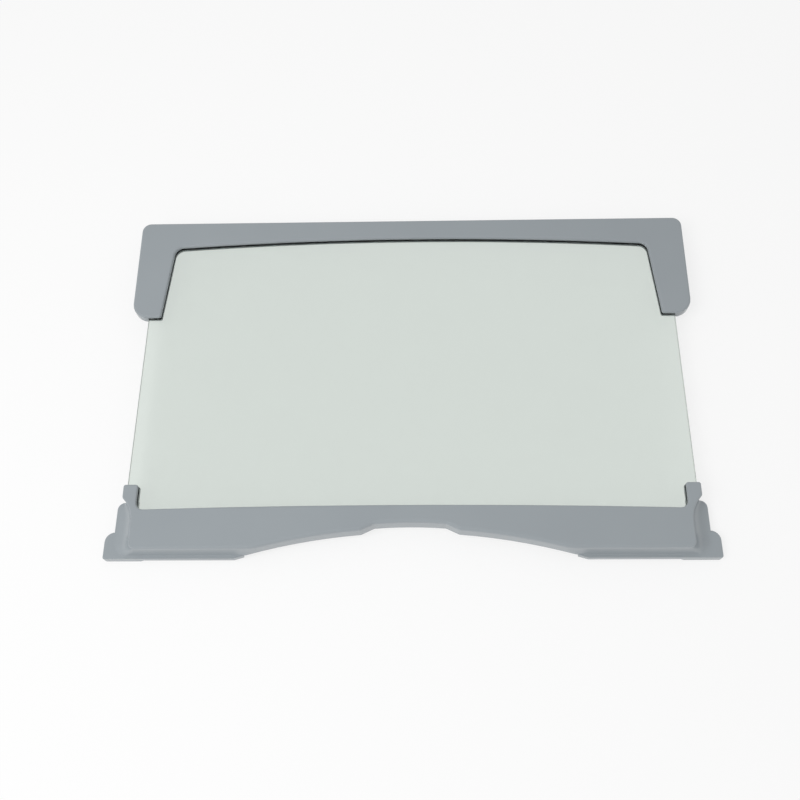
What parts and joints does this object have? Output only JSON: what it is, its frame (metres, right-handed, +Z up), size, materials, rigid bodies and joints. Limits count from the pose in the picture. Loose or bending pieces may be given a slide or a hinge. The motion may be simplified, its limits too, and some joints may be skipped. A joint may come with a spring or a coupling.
{
  "type": "refrigerator shelf",
  "caption": "Flat clear glass shelf with a U-shaped plastic trim round its rear edge and a moulded front trim with arched front, finger notch, side fingers and low feet",
  "frame": {"origin": "on the resting plane of the front feet, at the middle of the whole shelf's width and depth", "axes": "+X to the right as seen from the front, +Y to the back, +Z up; the pane lies level, as in use"},
  "size_m": [0.4944, 0.309, 0.0235],
  "materials": {
    "pane_glass": "clear float glass with ground edges",
    "trim_plastic": "smooth satin moulded grey plastic"
  },
  "bodies": {
    "root": {"glass_pane": "pane_glass", "rear_trim": "trim_plastic", "front_trim": "trim_plastic"}
  },
  "joints": []
}
